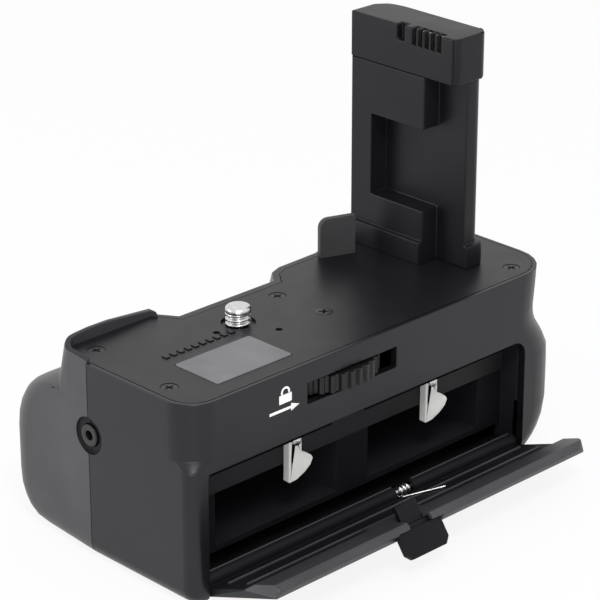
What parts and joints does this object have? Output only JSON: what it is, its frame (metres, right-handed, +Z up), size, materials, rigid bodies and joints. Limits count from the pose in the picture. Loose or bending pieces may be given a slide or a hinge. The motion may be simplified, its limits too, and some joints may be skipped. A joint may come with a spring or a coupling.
{
  "type": "camera battery grip",
  "caption": "Battery grip that screws under a camera: two-shell housing, contact tower, thumbwheel-driven mounting screw and a battery bay behind a spring-hinged latched door.",
  "frame": {"origin": "axis of the mounting screw on the deck plane", "axes": "+X to the right and -Y towards a viewer who faces the battery door, +Z up out of the deck along the mounting screw"},
  "size_m": [0.1327, 0.095, 0.1124],
  "materials": {
    "shell_plastic": "satin",
    "deck_plastic": "satin",
    "tower_plastic": "satin",
    "bay_plastic": "matte",
    "door_plastic": "satin",
    "label": "satin",
    "hook_plastic": "satin",
    "wheel_plastic": "ribbed",
    "button_plastic": "gloss",
    "black_screw": "black oxide",
    "steel": "bright",
    "bracket_steel": "pressed",
    "contact_gold": "plated",
    "brass": "machined",
    "board": "solder mask",
    "jack_plastic": "matte"
  },
  "bodies": {
    "housing": {"front_shell": "shell_plastic", "rear_shell": "shell_plastic", "top_deck": "deck_plastic", "label_plate": "label", "deck_screws": "black_screw", "bottom_screws": "black_screw", "tower_body": "tower_plastic", "tower_cap": "tower_plastic", "tower_contacts": "contact_gold", "tower_screws": "steel", "bay_chassis": "bay_plastic", "bay_contacts": "contact_gold", "circuit_board": "board", "jack_socket": "jack_plastic", "tripod_socket": "brass", "wheel_bracket": "bracket_steel", "wheel_axle": "steel", "hook_pins": "steel", "hinge_pin": "steel", "button_bezel": "button_plastic", "button_clip": "steel"},
    "wheel": {"thumbwheel": "wheel_plastic"},
    "screw": {"camera_screw": "steel", "screw_gear": "brass"},
    "hook_left": {"battery_hook_left": "hook_plastic"},
    "hook_right": {"battery_hook_right": "hook_plastic"},
    "door": {"battery_door": "door_plastic", "door_spring": "steel", "latch_pin": "steel"},
    "lever": {"latch_lever": "door_plastic"},
    "button": {"shutter_button": "button_plastic"}
  },
  "joints": [
    {"name": "wheel_turn", "type": "hinge", "parent": "housing", "child": "wheel", "pos_m": [0.01008, -0.01344, -0.0078], "axis": [0, 0, 1], "continuous": true},
    {"name": "screw_turn", "type": "hinge", "parent": "housing", "child": "screw", "pos_m": [0, 0, 0], "axis": [0, 0, 1], "continuous": true},
    {"name": "hook_left_swing", "type": "hinge", "parent": "housing", "child": "hook_left", "pos_m": [-0.00365, -0.02255, -0.022], "axis": [0, -1, 0], "range_deg": [0, 70]},
    {"name": "hook_right_swing", "type": "hinge", "parent": "housing", "child": "hook_right", "pos_m": [0.04365, -0.02255, -0.022], "axis": [0, -1, 0], "range_deg": [0, 70]},
    {"name": "door_hinge", "type": "hinge", "parent": "housing", "child": "door", "pos_m": [0.018, -0.0255, -0.0473], "axis": [1, 0, 0], "range_deg": [-69.5, 0]},
    {"name": "latch_swing", "type": "hinge", "parent": "door", "child": "lever", "pos_m": [0.011, -0.04906, -0.04063], "axis": [-1, 0, 0], "range_deg": [-105, 0]},
    {"name": "shutter_press", "type": "slide", "parent": "housing", "child": "button", "axis": [-1, 0, 0], "range_m": [0, 0.001], "stiffness_N_per_m": 600}
  ],
  "couplings": [
    {"joint": "screw_turn", "follows": "wheel_turn", "ratio": -1.3333}
  ]
}
